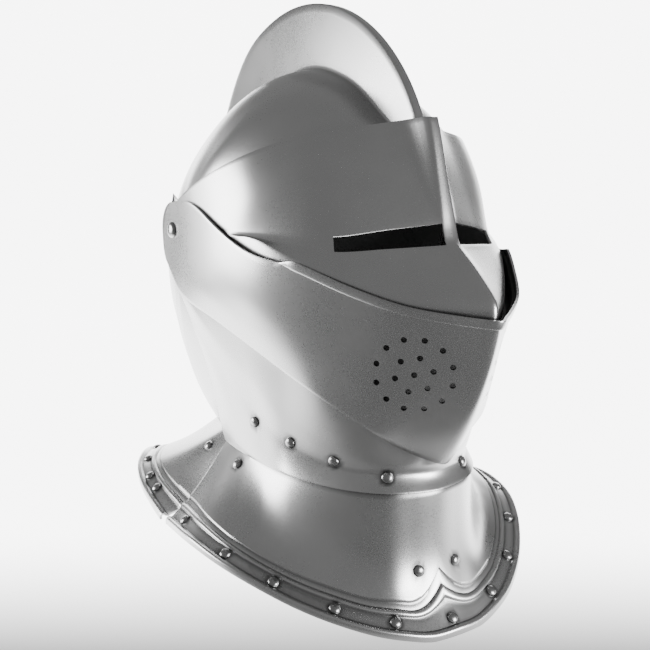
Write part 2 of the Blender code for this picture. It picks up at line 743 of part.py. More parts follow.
def rear_neck(skull, throat):
    """Points just inside the skull's lower edge, as far ahead as the front plate's seam."""
    first = len(SKULL_SECTIONS) - 1
    under = []
    for j in range(first, first + UNDER_SKULL + 1):
        point = skull[j][0].copy()
        outward = Vector((point[0], point[1] - 20, 0)).normalized()
        under.append(point - outward * NECK_INSET)
    knots, last, beyond = under[:-1], under[-2], under[-1]
    seam = throat[-1][-1][1] - SEAM_GAP
    share = (seam - last[1]) / (beyond[1] - last[1])
    for k in (1, 2, 3):
        knots.append(lerp(last, beyond, share * k / 3))
    return knots


def along_rim(lines, share, inward):
    """A point of the plate between two of its profiles, this far in from the rim."""
    place = share * (len(lines) - 1)
    i = min(int(place), len(lines) - 2)
    near = inward_of_rim(lines[i], inward)[0]
    far = inward_of_rim(lines[i + 1], inward)[0]
    return lerp(near, far, place - i)


def below_neck(lines, share, down):
    """A point of the plate between two of its profiles, this far down from the neck."""
    place = share * (len(lines) - 1)
    i = min(int(place), len(lines) - 2)
    near, far = [inward_of_rim(line, profile_length(line) - down)[0] for line in lines[i : i + 2]]
    return lerp(near, far, place - i)


def on_grid(lattice, row, column):
    """The point of a grid at a row and column between whole ones."""
    j, i = int(row), int(column)
    high = lerp(lattice[j][i], lattice[j][i + 1], column - i)
    low = lerp(lattice[j + 1][i], lattice[j + 1][i + 1], column - i)
    return lerp(high, low, row - j)


def rim_rivets(stem, lines, shares, tree, plate):
    """Rivets in the sunken band, one on the medial plane and a pair at each share."""
    rivet(f"{stem}_middle", local(along_rim(lines, 0.0, RIVET_INWARD)), tree, plate)
    both_sides(stem, [along_rim(lines, share, RIVET_INWARD) for share in shares], tree, plate)


def make_rear_gorget(parent, skull, throat):
    steps = (1, 1, 2, 2, 2, 1, 1, 1, 1)
    rim, hollow = rim_points(REAR_RIM, -GORGET_BEHIND, steps)
    neck = curve(rear_neck(skull, throat), steps)
    collar = [p + Vector((0, 0, COLLAR + 2)) for p in neck]
    lattice, lines = gorget_lattice(collar, neck, rim, hollow, False, NOTCH_WIDTH)
    plate = sheet("rear_gorget_plate", lattice)
    plate.parent = parent
    steel(plate, 0.56, 0.34)
    tree = tree_of(plate)
    rim_rivets("rear_rim_rivet", lines, REAR_RIVETS, tree, plate)
    both_sides("rear_seam_rivet", [below_neck(lines, *REAR_SEAM_RIVET)], tree, plate)
    return plate


def main():
    clear_scene()
    skull, crown = make_skull()
    lower_bevor, throat = make_lower_bevor(skull)
    make_front_gorget(lower_bevor, throat)
    make_rear_gorget(skull, crown, throat)
    upper_bevor = make_upper_bevor(lower_bevor)
    make_visor(upper_bevor)
    for side, word in ((-1, "right"), (1, "left")):
        pivot_bolt(f"pivot_bolt_{word}", side, skull)


main()
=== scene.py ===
"""Close helmet: fine steel plates and rivets over the helmet's bodies, in a pale studio.

A plate's points are (across, ahead, up) in millimetres from the middle of the pivot axis: across
from the medial plane, ahead towards the face. The face looks along -Y.
"""

import math
from collections import namedtuple

import bmesh
import bpy
import numpy as np
from mathutils import Matrix, Vector
from mathutils.bvhtree import BVHTree
from mathutils.kdtree import KDTree

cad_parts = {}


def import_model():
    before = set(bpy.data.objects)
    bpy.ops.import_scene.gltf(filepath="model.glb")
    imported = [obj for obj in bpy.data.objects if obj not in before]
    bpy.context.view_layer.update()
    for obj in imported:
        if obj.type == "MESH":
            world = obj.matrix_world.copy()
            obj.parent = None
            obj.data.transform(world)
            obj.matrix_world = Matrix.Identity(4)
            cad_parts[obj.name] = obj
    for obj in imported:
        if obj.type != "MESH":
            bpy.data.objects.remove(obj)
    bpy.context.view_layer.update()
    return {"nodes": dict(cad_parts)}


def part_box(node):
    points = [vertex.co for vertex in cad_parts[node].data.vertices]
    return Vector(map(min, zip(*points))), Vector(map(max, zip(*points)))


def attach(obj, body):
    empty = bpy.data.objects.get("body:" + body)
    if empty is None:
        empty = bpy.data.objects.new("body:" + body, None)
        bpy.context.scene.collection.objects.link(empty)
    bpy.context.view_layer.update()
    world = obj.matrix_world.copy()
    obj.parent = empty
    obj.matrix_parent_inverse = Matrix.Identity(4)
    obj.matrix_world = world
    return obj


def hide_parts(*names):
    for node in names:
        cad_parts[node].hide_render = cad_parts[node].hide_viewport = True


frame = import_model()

MM = 0.001

# The helmet's sizes, as in the part's source.
HALF_WIDTH = 97.5
CROWN_RADIUS = 110.0
COMB_RADIUS = 147.0
CREST_RADIUS = 157.5
PROW_RADIUS = 205.0
GORGET_HALF = 118.5
GORGET_AHEAD = 176.0
GORGET_BEHIND = 154.0
RIM_DROP = 227.0
PLATE = 1.5
LAYER = PLATE + 0.5
VISOR_HALF = HALF_WIDTH - LAYER
THROAT_HALF = VISOR_HALF - LAYER
SKULL_HALF = THROAT_HALF - LAYER
THROAT_RADIUS = PROW_RADIUS - LAYER
COMB_FOOT_HALF = 6.4
FLANGE_TURN = 1.3
COLLAR = 6.0
REST_TURN = 2.4
NECK_INSET = 2.4
SEAM_GAP = 1.0
NOTCH_WIDTH = 8.5
NOTCH_LENGTH = 14.0
NOTCH_SPREAD = 30.0
BREATH_RADIUS = 1.7
BREATH_RINGS = ((0.0, 1, 0.0), (10.6, 6, 47.0), (21.4, 12, 15.0))  # ring radius, holes, first angle
BREATH_CENTRE = (0.307, 0.888, -23.15)  # share of HALF_WIDTH, share of PROW_RADIUS, degrees
PIVOT_HOLE_RADIUS = 3.3
SKULL_HOLE_RADIUS = 3.8
PIVOT_SHANK_RADIUS = 3.0
PIVOT_HEAD_RADIUS = 5.2
PIVOT_HEAD_HEIGHT = 2.6
RIVET_RADIUS = 3.5
RIVET_HEIGHT = 2.3
SEAT_GAP = 0.3
BOLT_GAP = 0.9
FRONT_REACH = (PROW_RADIUS + FLANGE_TURN) * math.cos(math.radians(11.2))
PIVOT_Y = (FRONT_REACH - GORGET_BEHIND) / 2.0

Row = namedtuple("Row", "name across reach angle")
VISOR_ROWS = [
    Row("upper edge",
        (0, 0.0419, 0.0942, 0.3351, 0.5654, 0.6702, 0.8639, 0.9476, 0.9906, 1),
        (1, 0.9968, 0.9048, 0.8063, 0.7429, 0.6952, 0.5524, 0.4127, 0.2413, 0.1079),
        (25, 25.2, 27.3, 29, 30, 30.4, 32, 36, 48, 95)),
    Row("brow",
        (0, 0.0419, 0.0942, 0.3351, 0.5759, 0.6963, 0.8796, 0.955, 0.9927, 1),
        (0.9873, 0.9841, 0.9302, 0.8476, 0.7683, 0.7079, 0.5524, 0.4127, 0.2286, 0.1079),
        (14, 14, 14, 14, 14, 14.5, 15, 18, 22, 130)),
    Row("slit top",
        (0, 0.044, 0.0681, 0.3351, 0.5864, 0.712, 0.8901, 0.9581, 0.9927, 1),
        (1.0083, 1.0051, 0.9968, 0.9016, 0.8063, 0.7206, 0.5333, 0.4127, 0.2286, 0.1079),
        (3, 3, 2.9, 1.8, 0.4, 1.2, 2.4, 3, 4, 160)),
    Row("slit foot",
        (0, 0.044, 0.0681, 0.3455, 0.6021, 0.733, 0.8963, 0.9581, 0.9927, 1),
        (1.0317, 1.0254, 1.0159, 0.927, 0.8286, 0.7365, 0.546, 0.419, 0.2286, 0.1079),
        (-0.6, -1, -1.1, -1.9, -2.9, -2.2, 0.2, 1.2, -3, 185)),
    Row("ledge crease",
        (0, 0.0524, 0.1257, 0.377, 0.6073, 0.7958, 0.8984, 0.9581, 0.9927, 1),
        (1.2775, 1.2546, 1.2178, 1.073, 0.9098, 0.7479, 0.5905, 0.4317, 0.2286, 0.1079),
        (-9.4, -9.5, -9.8, -10.6, -8.8, -5.4, -0.6, -0.6, -12, 210)),
    Row("skirt edge",
        (0, 0.0524, 0.1257, 0.377, 0.6073, 0.7958, 0.9005, 0.9602, 0.9927, 1),
        (1.28, 1.2571, 1.2216, 1.0813, 0.9168, 0.7498, 0.5905, 0.4254, 0.2286, 0.1079),
        (-15.5, -15.8, -16.3, -17.6, -17, -16, -17, -24, -42, 265)),
]
BEVOR_ROWS = [
    Row("upper edge",
        (0, 0.0615, 0.2051, 0.4103, 0.6154, 0.8103, 0.9231, 0.9795, 0.9969, 1),
        (1, 0.978, 0.9268, 0.8439, 0.722, 0.5805, 0.4561, 0.3122, 0.1659, 0.0878),
        (-12.2, -12.3, -12.3, -12, -10.3, -6.8, -5.5, 2.7, 32, 100)),
    Row("mouth",
        (0, 0.0615, 0.2051, 0.4103, 0.6154, 0.8051, 0.9179, 0.9774, 0.9979, 1),
        (1, 0.9805, 0.922, 0.8366, 0.7171, 0.5805, 0.4585, 0.3171, 0.1512, 0.0878),
        (-20, -20, -20, -20, -20, -20, -20, -14, -5, 145)),
    Row("chin",
        (0, 0.0821, 0.2256, 0.4205, 0.6154, 0.7795, 0.8923, 0.9672, 0.9969, 1),
        (1, 0.982, 0.9268, 0.8561, 0.7341, 0.5927, 0.4585, 0.3171, 0.161, 0.0878),
        (-30, -30, -30, -30, -30, -30, -31.5, -34, -52, 190)),
    Row("lower edge",
        (0, 0.1026, 0.2564, 0.441, 0.6256, 0.7436, 0.8513, 0.9313, 0.9908, 1),
        (1.0024, 0.9756, 0.9268, 0.8732, 0.7537, 0.6049, 0.4561, 0.322, 0.2073, 0.1171),
        (-39, -39, -38.5, -36.2, -35.8, -38.4, -42.4, -51.5, -76, 236)),
]
THROAT_ROWS = [
    Row("upper edge",
        (0, 0.1283, 0.2888, 0.4706, 0.6417, 0.7594, 0.861, 0.9412, 0.9936, 1),
        (0.9986, 0.9631, 0.9015, 0.83, 0.7192, 0.5837, 0.4507, 0.3103, 0.1576, 0.0837),
        (-30.9, -31, -31, -31, -30, -29, -27, -22, 0, 95)),
    Row("chin",
        (0, 0.1176, 0.2781, 0.4599, 0.631, 0.7487, 0.8663, 0.9497, 0.9925, 1),
        (0.9987, 0.9631, 0.9138, 0.8547, 0.7512, 0.601, 0.4532, 0.3202, 0.1773, 0.0837),
        (-37.9, -38, -38, -36.8, -36.8, -39.6, -43.5, -53, -72, 190)),
    Row("under chin",
        (0, 0.139, 0.2888, 0.4599, 0.6096, 0.7219, 0.8289, 0.9198, 0.9754, 0.9947),
        (0.981, 0.972, 0.9487, 0.8954, 0.7997, 0.6736, 0.5212, 0.3886, 0.2602, 0.1721),
        (-41.1, -41.4, -42.1, -43.7, -46.6, -50.5, -53.5, -59.5, -71.2, 256.8)),
    Row("throat",
        (0, 0.1497, 0.2995, 0.4599, 0.5989, 0.7005, 0.7647, 0.8342, 0.893, 0.9412),
        (0.9953, 0.9864, 0.9643, 0.9133, 0.8386, 0.7495, 0.6373, 0.5252, 0.4114, 0.2962),
        (-42.7, -43, -43.9, -46.6, -50.8, -55.6, -60.9, -66.8, -73.3, 273.8)),
    Row("flare",
        (0, 0.1604, 0.3155, 0.4759, 0.6096, 0.7059, 0.7519, 0.7914, 0.8289, 0.8503),
        (1.0141, 1.0046, 0.9837, 0.936, 0.8701, 0.796, 0.716, 0.6389, 0.5509, 0.4451),
        (-43.2, -43.5, -44.5, -47.2, -51.5, -56.8, -63.4, -70.2, -75, 275.1)),
    Row("lower edge",
        (0, 0.1711, 0.3316, 0.492, 0.6203, 0.7166, 0.7561, 0.7701, 0.7733, 0.7658),
        (1.0454, 1.0354, 1.0143, 0.9658, 0.9036, 0.8366, 0.7732, 0.735, 0.7122, 0.6947),
        (-43.5, -43.9, -44.8, -47.6, -51.8, -57.6, -65.1, -71.6, -77.2, 276.9)),
]
# Skull sections by angle about the pivot axis: radius beside the comb as a share of CROWN_RADIUS,
# fullness of the section, and the radius of the comb's edge as a share of COMB_RADIUS.
Section = namedtuple("Section", "angle reach fullness comb")
SKULL_SECTIONS = [
    Section(22, 1.19, 2.3, 0),
    Section(27, 1.18, 2.3, 0.998),
    Section(34, 1.13, 2.35, 1),
    Section(42, 1.085, 2.4, 1),
    Section(51, 1.048, 2.35, 1),
    Section(61, 1.01, 2.15, 1),
    Section(72, 0.98, 1.98, 1),
    Section(84, 0.945, 1.85, 1),
    Section(96, 0.91, 1.75, 1),
    Section(108, 0.885, 1.7, 1),
    Section(120, 0.865, 1.7, 1),
    Section(132, 0.855, 1.7, 0.978),
    Section(144, 0.86, 1.7, 0.957),
    Section(156, 0.885, 1.7, 0.94),
    Section(168, 0.93, 1.72, 0.929),
    Section(180, 0.985, 1.76, 0.923),
    Section(192, 1.045, 1.82, 0.923),
    Section(204, 1.11, 1.95, 0.928),
    Section(216, 1.193, 2, 0.944),
    Section(227, 1.288, 2.02, 0.974),
    Section(238, 1.382, 2.02, 0),
    Section(242.3, 1.441, 2.02, 0),
]
# Below the nape and round the face opening: the section's radius, its fullness, and where the
# plate stops, both radii as shares of CROWN_RADIUS.
Edge = namedtuple("Edge", "angle reach fullness stop")
SKULL_EDGES = [
    Edge(243, 1.452, 2.01, 1.4385),
    Edge(244.8, 1.476, 2.01, 1.417),
    Edge(247.5, 1.512, 2.0, 1.3875),
    Edge(251, 1.56, 2.0, 1.3557),
    Edge(257, 1.64, 1.93, 1.315),
    Edge(268, 1.77, 1.79, 1.245),
    Edge(281, 1.87, 1.7, 1.225),
    Edge(292, 1.85, 1.7, 0.8),
    Edge(308, 1.6, 1.8, 0.55),
    Edge(330, 1.4, 2.1, 0.43),
    Edge(354, 1.3, 2.2, 0.44),
    Edge(373, 1.25, 2.3, 0.56),
]
UNDER_SKULL = 7  # how many points of the skull's lower edge the rear gorget's neck follows

# The gorget's rim from the medial plane outward: shares of GORGET_HALF, of GORGET_AHEAD or
# GORGET_BEHIND, and of RIM_DROP; hollow bends the plate inward between neck and rim.
Rim = namedtuple("Rim", "across along drop hollow")
FRONT_RIM = [
    Rim(0, 1, 1, 0.9),
    Rim(0.143, 0.993, 1, 0.9),
    Rim(0.278, 0.972, 0.985, 0.85),
    Rim(0.422, 0.932, 0.965, 0.75),
    Rim(0.591, 0.857, 0.933, 0.6),
    Rim(0.726, 0.773, 0.902, 0.45),
    Rim(0.852, 0.668, 0.8656, 0.33),
    Rim(0.948, 0.543, 0.836, 0.25),
    Rim(0.998, 0.364, 0.82, 0.2),
    Rim(0.9646, 0.082, 0.841, 0.2),
]
REAR_RIM = [
    Rim(0, 1, 1, 0.5),
    Rim(0.1772, 0.9838, 1, 0.5),
    Rim(0.3376, 0.9091, 0.9119, 0.4),
    Rim(0.4895, 0.8182, 0.8414, 0.3),
    Rim(0.6329, 0.7143, 0.7996, 0.25),
    Rim(0.7511, 0.6039, 0.7819, 0.25),
    Rim(0.8523, 0.474, 0.7885, 0.25),
    Rim(0.9198, 0.3117, 0.804, 0.25),
    Rim(0.9536, 0.1299, 0.8238, 0.25),
    Rim(0.9662, -0.0865, 0.8432, 0.25),
]
# Border relief: distance in from the rim, height above the plate, how far the cusp moves it,
# painted shade darkening the grooves.
Line = namedtuple("Line", "inward height cusp grime")
BORDER = [
    Line(23.2, 0.0, 1.0, 0),
    Line(21.9, -0.05, 1.0, 0),
    Line(21.3, -0.55, 1.0, 0.45),
    Line(20.6, -0.9, 1.0, 1),
    Line(19.4, -0.8, 0.96, 0.35),
    Line(17.6, -0.8, 0.8, 0),
    Line(16.8, -0.95, 0.74, 1),
    Line(16.3, -0.5, 0.72, 0.6),
    Line(15.8, 0.1, 0.7, 0),
    Line(15.2, 0.3, 0.66, 0),
    Line(14.4, 0.34, 0.6, 0),
    Line(13.6, 0.26, 0.54, 0),
    Line(13.1, -0.1, 0.52, 0.5),
    Line(12.6, -0.75, 0.5, 1),
    Line(12.0, -1.0, 0.47, 1),
    Line(10.6, -0.9, 0.36, 0.3),
    Line(8.4, -0.9, 0.22, 0),
    Line(5.8, -0.9, 0.06, 0.3),
    Line(4.7, -1.05, 0.0, 1),
    Line(4.1, -0.55, 0.0, 0.6),
    Line(3.6, 0.3, 0.0, 0),
    Line(2.9, 0.85, 0.0, 0),
    Line(2.1, 1.05, 0.0, 0),
    Line(1.2, 0.95, 0.0, 0),
    Line(0.5, 0.5, 0.0, 0),
]
CUSP_RISE = 16.0
CUSP_HALF = 26.0

# Steps from knot to knot of a plate's rows (STEPS), and from row to row of its table (ROW_STEPS).
VISOR_STEPS = (4, 4, 12, 10, 8, 8, 6, 6, 12)
VISOR_ROW_STEPS = (9, 9, 6, 14, 5)
VISOR_SHARP, VISOR_CORNERS = (3, 4), (1, 2)
SLIT_BLOCK = (VISOR_STEPS[0] + 1, sum(VISOR_STEPS[:4]), 18, 24)
BEVOR_STEPS = (5, 8, 10, 10, 10, 8, 6, 6, 12)
BEVOR_ROW_STEPS = (8, 8, 9)
FLANGE_LAST = sum(BEVOR_STEPS[:5])
THROAT_STEPS = (14, 10, 8, 10, 10, 10, 10, 6, 12)
THROAT_ROW_STEPS = (4, 10, 8, 4, 5)
FLARE_ROW = -6
REAR_STEPS = (8, 8, 8, 8, 8, 8, 6, 6, 8)


def spline(at, values, where):
    """Natural cubic spline through rows of values."""
    at, values, where = (np.asarray(a, float) for a in (at, values, where))
    count, gap = len(at), np.diff(at)
    matrix, right = np.eye(count), np.zeros_like(values)
    for k in range(1, count - 1):
        matrix[k, k - 1 : k + 2] = gap[k - 1], 2 * (gap[k - 1] + gap[k]), gap[k]
        rise, last = values[k + 1] - values[k], values[k] - values[k - 1]
        right[k] = 6 * (rise / gap[k] - last / gap[k - 1])
    second = np.linalg.solve(matrix, right)
    k = np.clip(np.searchsorted(at, where, side="right") - 1, 0, count - 2)
    wide = gap[k][:, None]
    a = (at[k + 1] - where)[:, None] / wide
    b = 1 - a
    bow = (a**3 - a) * second[k] + (b**3 - b) * second[k + 1]
    return a * values[k] + b * values[k + 1] + bow * wide**2 / 6


def steady(at, values, where):
    """Cubic runs through rows of values that never overshoot."""
    at, values, where = (np.asarray(a, float) for a in (at, values, where))
    gap = np.diff(at)[:, None]
    rate = np.diff(values, axis=0) / gap
    slope = np.concatenate([rate[:1], np.zeros_like(rate[1:]), rate[-1:]])
    if len(at) > 2:
        near, far = 2 * gap[1:] + gap[:-1], gap[1:] + 2 * gap[:-1]
        same = rate[:-1] * rate[1:] > 0
        low, high = np.where(same, rate[:-1], 1.0), np.where(same, rate[1:], 1.0)
        slope[1:-1] = np.where(same, (near + far) / (near / low + far / high), 0.0)
    k = np.clip(np.searchsorted(at, where, side="right") - 1, 0, len(at) - 2)
    wide = gap[k]
    t = (where - at[k])[:, None] / wide
    held = values[k] * (1 + 2 * t) * (1 - t) ** 2 + values[k + 1] * t**2 * (3 - 2 * t)
    return held + slope[k] * wide * t * (1 - t) ** 2 - slope[k + 1] * wide * t**2 * (1 - t)


def polar(across, reach, angle):
    turn = np.radians(angle)
    return np.stack(np.broadcast_arrays(across, reach * np.cos(turn), reach * np.sin(turn)), -1)


def flip(points):
    return points * np.array([-1.0, 1.0, 1.0])


def unit(vectors):
    return vectors / np.maximum(np.linalg.norm(vectors, axis=-1, keepdims=True), 1e-9)


def bend(before, start, end, after, share):
    """Points of the centripetal spline between start and end."""
    def span(a, b):
        return np.maximum(np.linalg.norm(b - a, axis=-1, keepdims=True), 1e-6) ** 0.5

    t1 = span(before, start)
    t2 = t1 + span(start, end)
    t3 = t2 + span(end, after)
    t = t1 + (t2 - t1) * share
    a1 = before * ((t1 - t) / t1) + start * (t / t1)
    a2 = start * ((t2 - t) / (t2 - t1)) + end * ((t - t1) / (t2 - t1))
    a3 = end * ((t3 - t) / (t3 - t2)) + after * ((t - t2) / (t3 - t2))
    b1 = a1 * ((t2 - t) / t2) + a2 * (t / t2)
    b2 = a2 * ((t3 - t) / (t3 - t1)) + a3 * ((t - t1) / (t3 - t1))
    return b1 * ((t2 - t) / (t2 - t1)) + b2 * ((t - t1) / (t2 - t1))


def curve(knots, steps, corners=()):
    """Rows of knots as smooth runs that start square to the medial plane."""
    count = knots.shape[1]
    out = [knots[:, 0]]
    for k in range(count - 1):
        start, end = knots[:, k], knots[:, k + 1]
        before, after = start * 2 - end, end * 2 - start
        if k == 0:
            before = flip(end)
        elif k not in corners:
            before = knots[:, k - 1]
        if k + 2 < count and k + 1 not in corners:
            after = knots[:, k + 2]
        out += [bend(before, start, end, after, i / steps[k]) for i in range(1, steps[k] + 1)]
    return np.stack(out, 1)


def fan(table, half, radius, row_steps, steps, sharp=(), corners=()):
    """A plate's outer face for one side, smooth from row to row except at the sharp rows."""
    scale = np.array([half, radius, 1.0])[:, None]
    values = np.array([row[1:] for row in table], float) * scale
    knots = polar(values[:, 0], values[:, 1], values[:, 2])
    gaps = np.linalg.norm(np.diff(knots, axis=0), axis=-1).mean(1)
    at = np.concatenate([[0.0], np.cumsum(gaps)])
    flat = values.reshape(len(table), -1)
    stops = [0, *sharp, len(table) - 1]
    rows = []
    for a, b in zip(stops, stops[1:]):
        where = [
            at[j] + gaps[j] * i / row_steps[j] for j in range(a, b) for i in range(row_steps[j])
        ]
        if b == len(table) - 1:
            where.append(at[b])
        rows.append(steady(at[a : b + 1], flat[a : b + 1], where))
    fine = np.concatenate(rows).reshape(-1, 3, values.shape[2])
    return curve(polar(fine[:, 0], fine[:, 1], fine[:, 2]), steps, corners)


def soften(lattice, down, across):
    """Rounds the creases of a lattice by passes down its columns and across its rows."""
    grid = lattice.copy()
    for _ in range(down):
        grid[1:-1] += 0.25 * (grid[:-2] - 2 * grid[1:-1] + grid[2:])
    for _ in range(across):
        wide = np.concatenate([flip(grid[:, 1:2]), grid], 1)
        grid[:, :-1] += 0.25 * (wide[:, :-2] - 2 * wide[:, 1:-1] + wide[:, 2:])
        grid[:, 0, 0] = 0.0
    return grid


HEAD_MIDDLE = (0.0, 20.0, -60.0)
BELOW = (0.0, 0.0, -400.0)


def outward(lattice, core=HEAD_MIDDLE):
    """Unit normals of a lattice, away from a point inside."""
    wide = np.concatenate([flip(lattice[:, 1:2]), lattice, lattice[:, -1:]], 1)
    across = wide[:, 2:] - wide[:, :-2]
    down = np.gradient(lattice, axis=0)
    normal = unit(np.cross(down, across))
    facing = (normal * (lattice - np.array(core))).sum(-1, keepdims=True)
    return np.where(facing < 0, -normal, normal)


# Distance out from the plate and height above its edge, from the flange's top to its foot.
FLANGE_LINES = ((1.9, 4.2), (2.0, 3.5), (2.0, 1.4), (1.9, -0.4), (1.5, -1.0), (0.5, -1.1))


def flanged(lattice, last):
    """The lattice with an outward turn along its upper edge up to column last."""
    normal = outward(lattice)[0]
    up = unit(lattice[0] - lattice[1])
    share = np.clip((last + 2 - np.arange(lattice.shape[1])) / 3, 0.0, 1.0)[:, None]
    rows = []
    for out, rise in FLANGE_LINES:
        rows.append(lattice[0] + normal * out * share + up * rise * share)
    body = lattice.copy()
    body[0] = lattice[0] - up * 1.1 * share + normal * 0.1 * share
    return np.concatenate([np.stack(rows), body])


def section(reach, fullness, turn):
    """Across and radius of the skull's section at angles turn from the medial plane."""
    crown, power = reach * CROWN_RADIUS, 2 / fullness
    return SKULL_HALF * np.sin(turn) ** power, crown * np.cos(turn) ** power


def turn_at(across, fullness):
    return np.arcsin(np.clip(across / SKULL_HALF, 0, 1) ** (fullness / 2))


def last_turn(reach, fullness):
    return np.arccos((SKULL_HOLE_RADIUS / (reach * CROWN_RADIUS)) ** (fullness / 2))


# The comb's half profile: across and drop at its edge, shares down its side, across and lift at
# its foot. A comb lower than COMB_FULL fades out.
COMB_SIDE = 3.25
COMB_COLUMNS = ((0, 0), (1.3, 0), (2.3, 0.05), (2.9, 0.35), (COMB_SIDE, 0.95))
SIDE_SHARES = (0.12, 0.3, 0.5, 0.7, 0.86, 0.95)
SIDE_FOOT = 6.2
FOOT_RISE = 1.1
FOOT_COLUMNS = ((6.35, 0.75), (6.62, 0.45), (7.0, 0.22), (7.6, 0.08), (8.6, 0.0), (10.0, 0.0))
COMB_FULL = 4.0
ARC_COLUMNS = 46
# Angles round the pivot axis, in degrees: the brow, where the comb starts and ends, the nape.
BROW, COMB_START, COMB_END, NAPE = 22, 27, 227, 242.3
ANGLE_STEP = 1.6
EDGE_STEP = 2.2


def combed_row(angle, reach, fullness, edge):
    """A row of the skull from the comb's edge to the pivot hole."""
    def dome(across):
        return section(reach, fullness, turn_at(across, fullness))[1]

    foot = dome(COMB_FOOT_HALF)
    rise = max(edge - foot, 0.0)
    tall = min(1.0, rise / COMB_FULL)
    points = [(x, max(foot, edge) - drop * tall) for x, drop in COMB_COLUMNS]
    top = points[-1][1]
    for share in SIDE_SHARES:
        x = COMB_SIDE + (SIDE_FOOT - COMB_SIDE) * share
        points.append((x, top + (foot + FOOT_RISE * tall - top) * share))
    for x, lift in FOOT_COLUMNS:
        points.append((x, dome(x) + lift * tall))
    first, last = turn_at(FOOT_COLUMNS[-1][0], fullness), last_turn(reach, fullness)
    turns = first + (last - first) * np.arange(1, ARC_COLUMNS + 1) / ARC_COLUMNS
    across, radius = section(reach, fullness, turns)
    x = np.concatenate([[p[0] for p in points], across])
    r = np.concatenate([[p[1] for p in points], radius])
    return polar(x, r, angle)


def edge_turn(edge):
    """Where the plate stops at an edge's angle."""
    return math.acos((edge.stop / edge.reach) ** (edge.fullness / 2))


def skull_lattice():
    """Rows by angle: over the comb to the nape, then along the plate's lower and front edge."""
    table = np.array([(s.angle, s.reach, s.fullness, s.comb) for s in SKULL_SECTIONS])
    foot = [
        section(s.reach, s.fullness, turn_at(COMB_FOOT_HALF, s.fullness))[1]
        for s in SKULL_SECTIONS
    ]
    edges = np.maximum(table[:, 3] * COMB_RADIUS, foot)
    angles = np.concatenate([
        np.linspace(BROW, COMB_START, 5)[:-1],
        np.arange(COMB_START, COMB_END, ANGLE_STEP),
        np.linspace(COMB_END, NAPE, 12),
    ])
    shape = spline(table[:, 0], table[:, 1:3], angles)
    inner = slice(1, 20)
    comb = spline(table[inner, 0], edges[inner, None], angles)[:, 0]
    outside = (angles < COMB_START) | (angles > COMB_END)
    comb = np.where(outside, np.interp(angles, table[:, 0], edges), comb)
    rows = [combed_row(a, s[0], s[1], e) for a, s, e in zip(angles, shape, comb)]
    head, tail = SKULL_SECTIONS[0], SKULL_SECTIONS[-1]
    marks = [(NAPE, tail.reach, tail.fullness, 0.0)]
    marks += [(e.angle, e.reach, e.fullness, edge_turn(e)) for e in SKULL_EDGES]
    marks.append((head.angle + 360, head.reach, head.fullness, 0.0))
    marks = np.array(marks)
    across, radius = section(marks[:, 1], marks[:, 2], marks[:, 3])
    spots = polar(across, radius, marks[:, 0])
    gaps = np.linalg.norm(np.diff(spots, axis=0), axis=-1)
    at = np.concatenate([[0.0], np.cumsum(gaps)])
    runs = [
        np.linspace(start, end, max(2, int(gap / EDGE_STEP)), False)
        for start, end, gap in zip(at, at[1:], gaps)
    ]
    where = np.concatenate(runs)[1:]
    fine = steady(at, marks, where)
    count = len(rows[0])
    share = np.arange(count) / (count - 1)
    for angle, reach, fullness, start in fine:
        turns = start + (last_turn(reach, fullness) - start) * share
        rows.append(polar(*section(reach, fullness, turns), angle))
    rows.append(rows[0])
    return np.stack(rows)


def skull_under():
    """The skull's lower edge at the rows of the part's source."""
    tail = SKULL_SECTIONS[-1]
    turn = turn_at(COMB_FOOT_HALF, tail.fullness)
    out = [polar(0.0, section(tail.reach, tail.fullness, turn)[1], NAPE)]
    for e in SKULL_EDGES[:UNDER_SKULL]:
        across, radius = section(e.reach, e.fullness, edge_turn(e))
        out.append(polar(across, radius, e.angle))
    return np.stack(out)


def rear_neck(seam):
    """Points just inside the skull's lower edge, as far ahead as the front plate's seam."""
    under = skull_under()
    side = unit(under * np.array([1.0, 1.0, 0.0]) - np.array([0.0, 20.0, 0.0]))
    under = under - side * NECK_INSET
    last, beyond = under[-2], under[-1]
    share = (seam - last[1]) / (beyond[1] - last[1])
    extra = [last + (beyond - last) * share * k / 3 for k in (1, 2, 3)]
    return np.concatenate([under[:-1], np.stack(extra)])


def rim_curve(table, along, steps):
    knots = np.array([(r.across * GORGET_HALF, r.along * along, -r.drop * RIM_DROP) for r in table])
    hollow = np.array([(i / (len(table) - 1), r.hollow, 0) for i, r in enumerate(table)])
    return curve(knots[None], steps)[0], curve(hollow[None], steps)[0, :, 1]


WING_POINTS = 81
FIELD_ROWS = 18


def wing(neck, rim, hollow):
    """The bare profiles of a gorget plate from neck to rim, as close-set points."""
    v = np.linspace(0, 1, WING_POINTS)[:, None]
    share = v * (1 - hollow) + v**4.2 * hollow
    line = neck[None] * (1 - share)[..., None] + rim[None] * share[..., None]
    line[..., 2] = neck[None, :, 2] * (1 - v) + rim[None, :, 2] * v
    return line


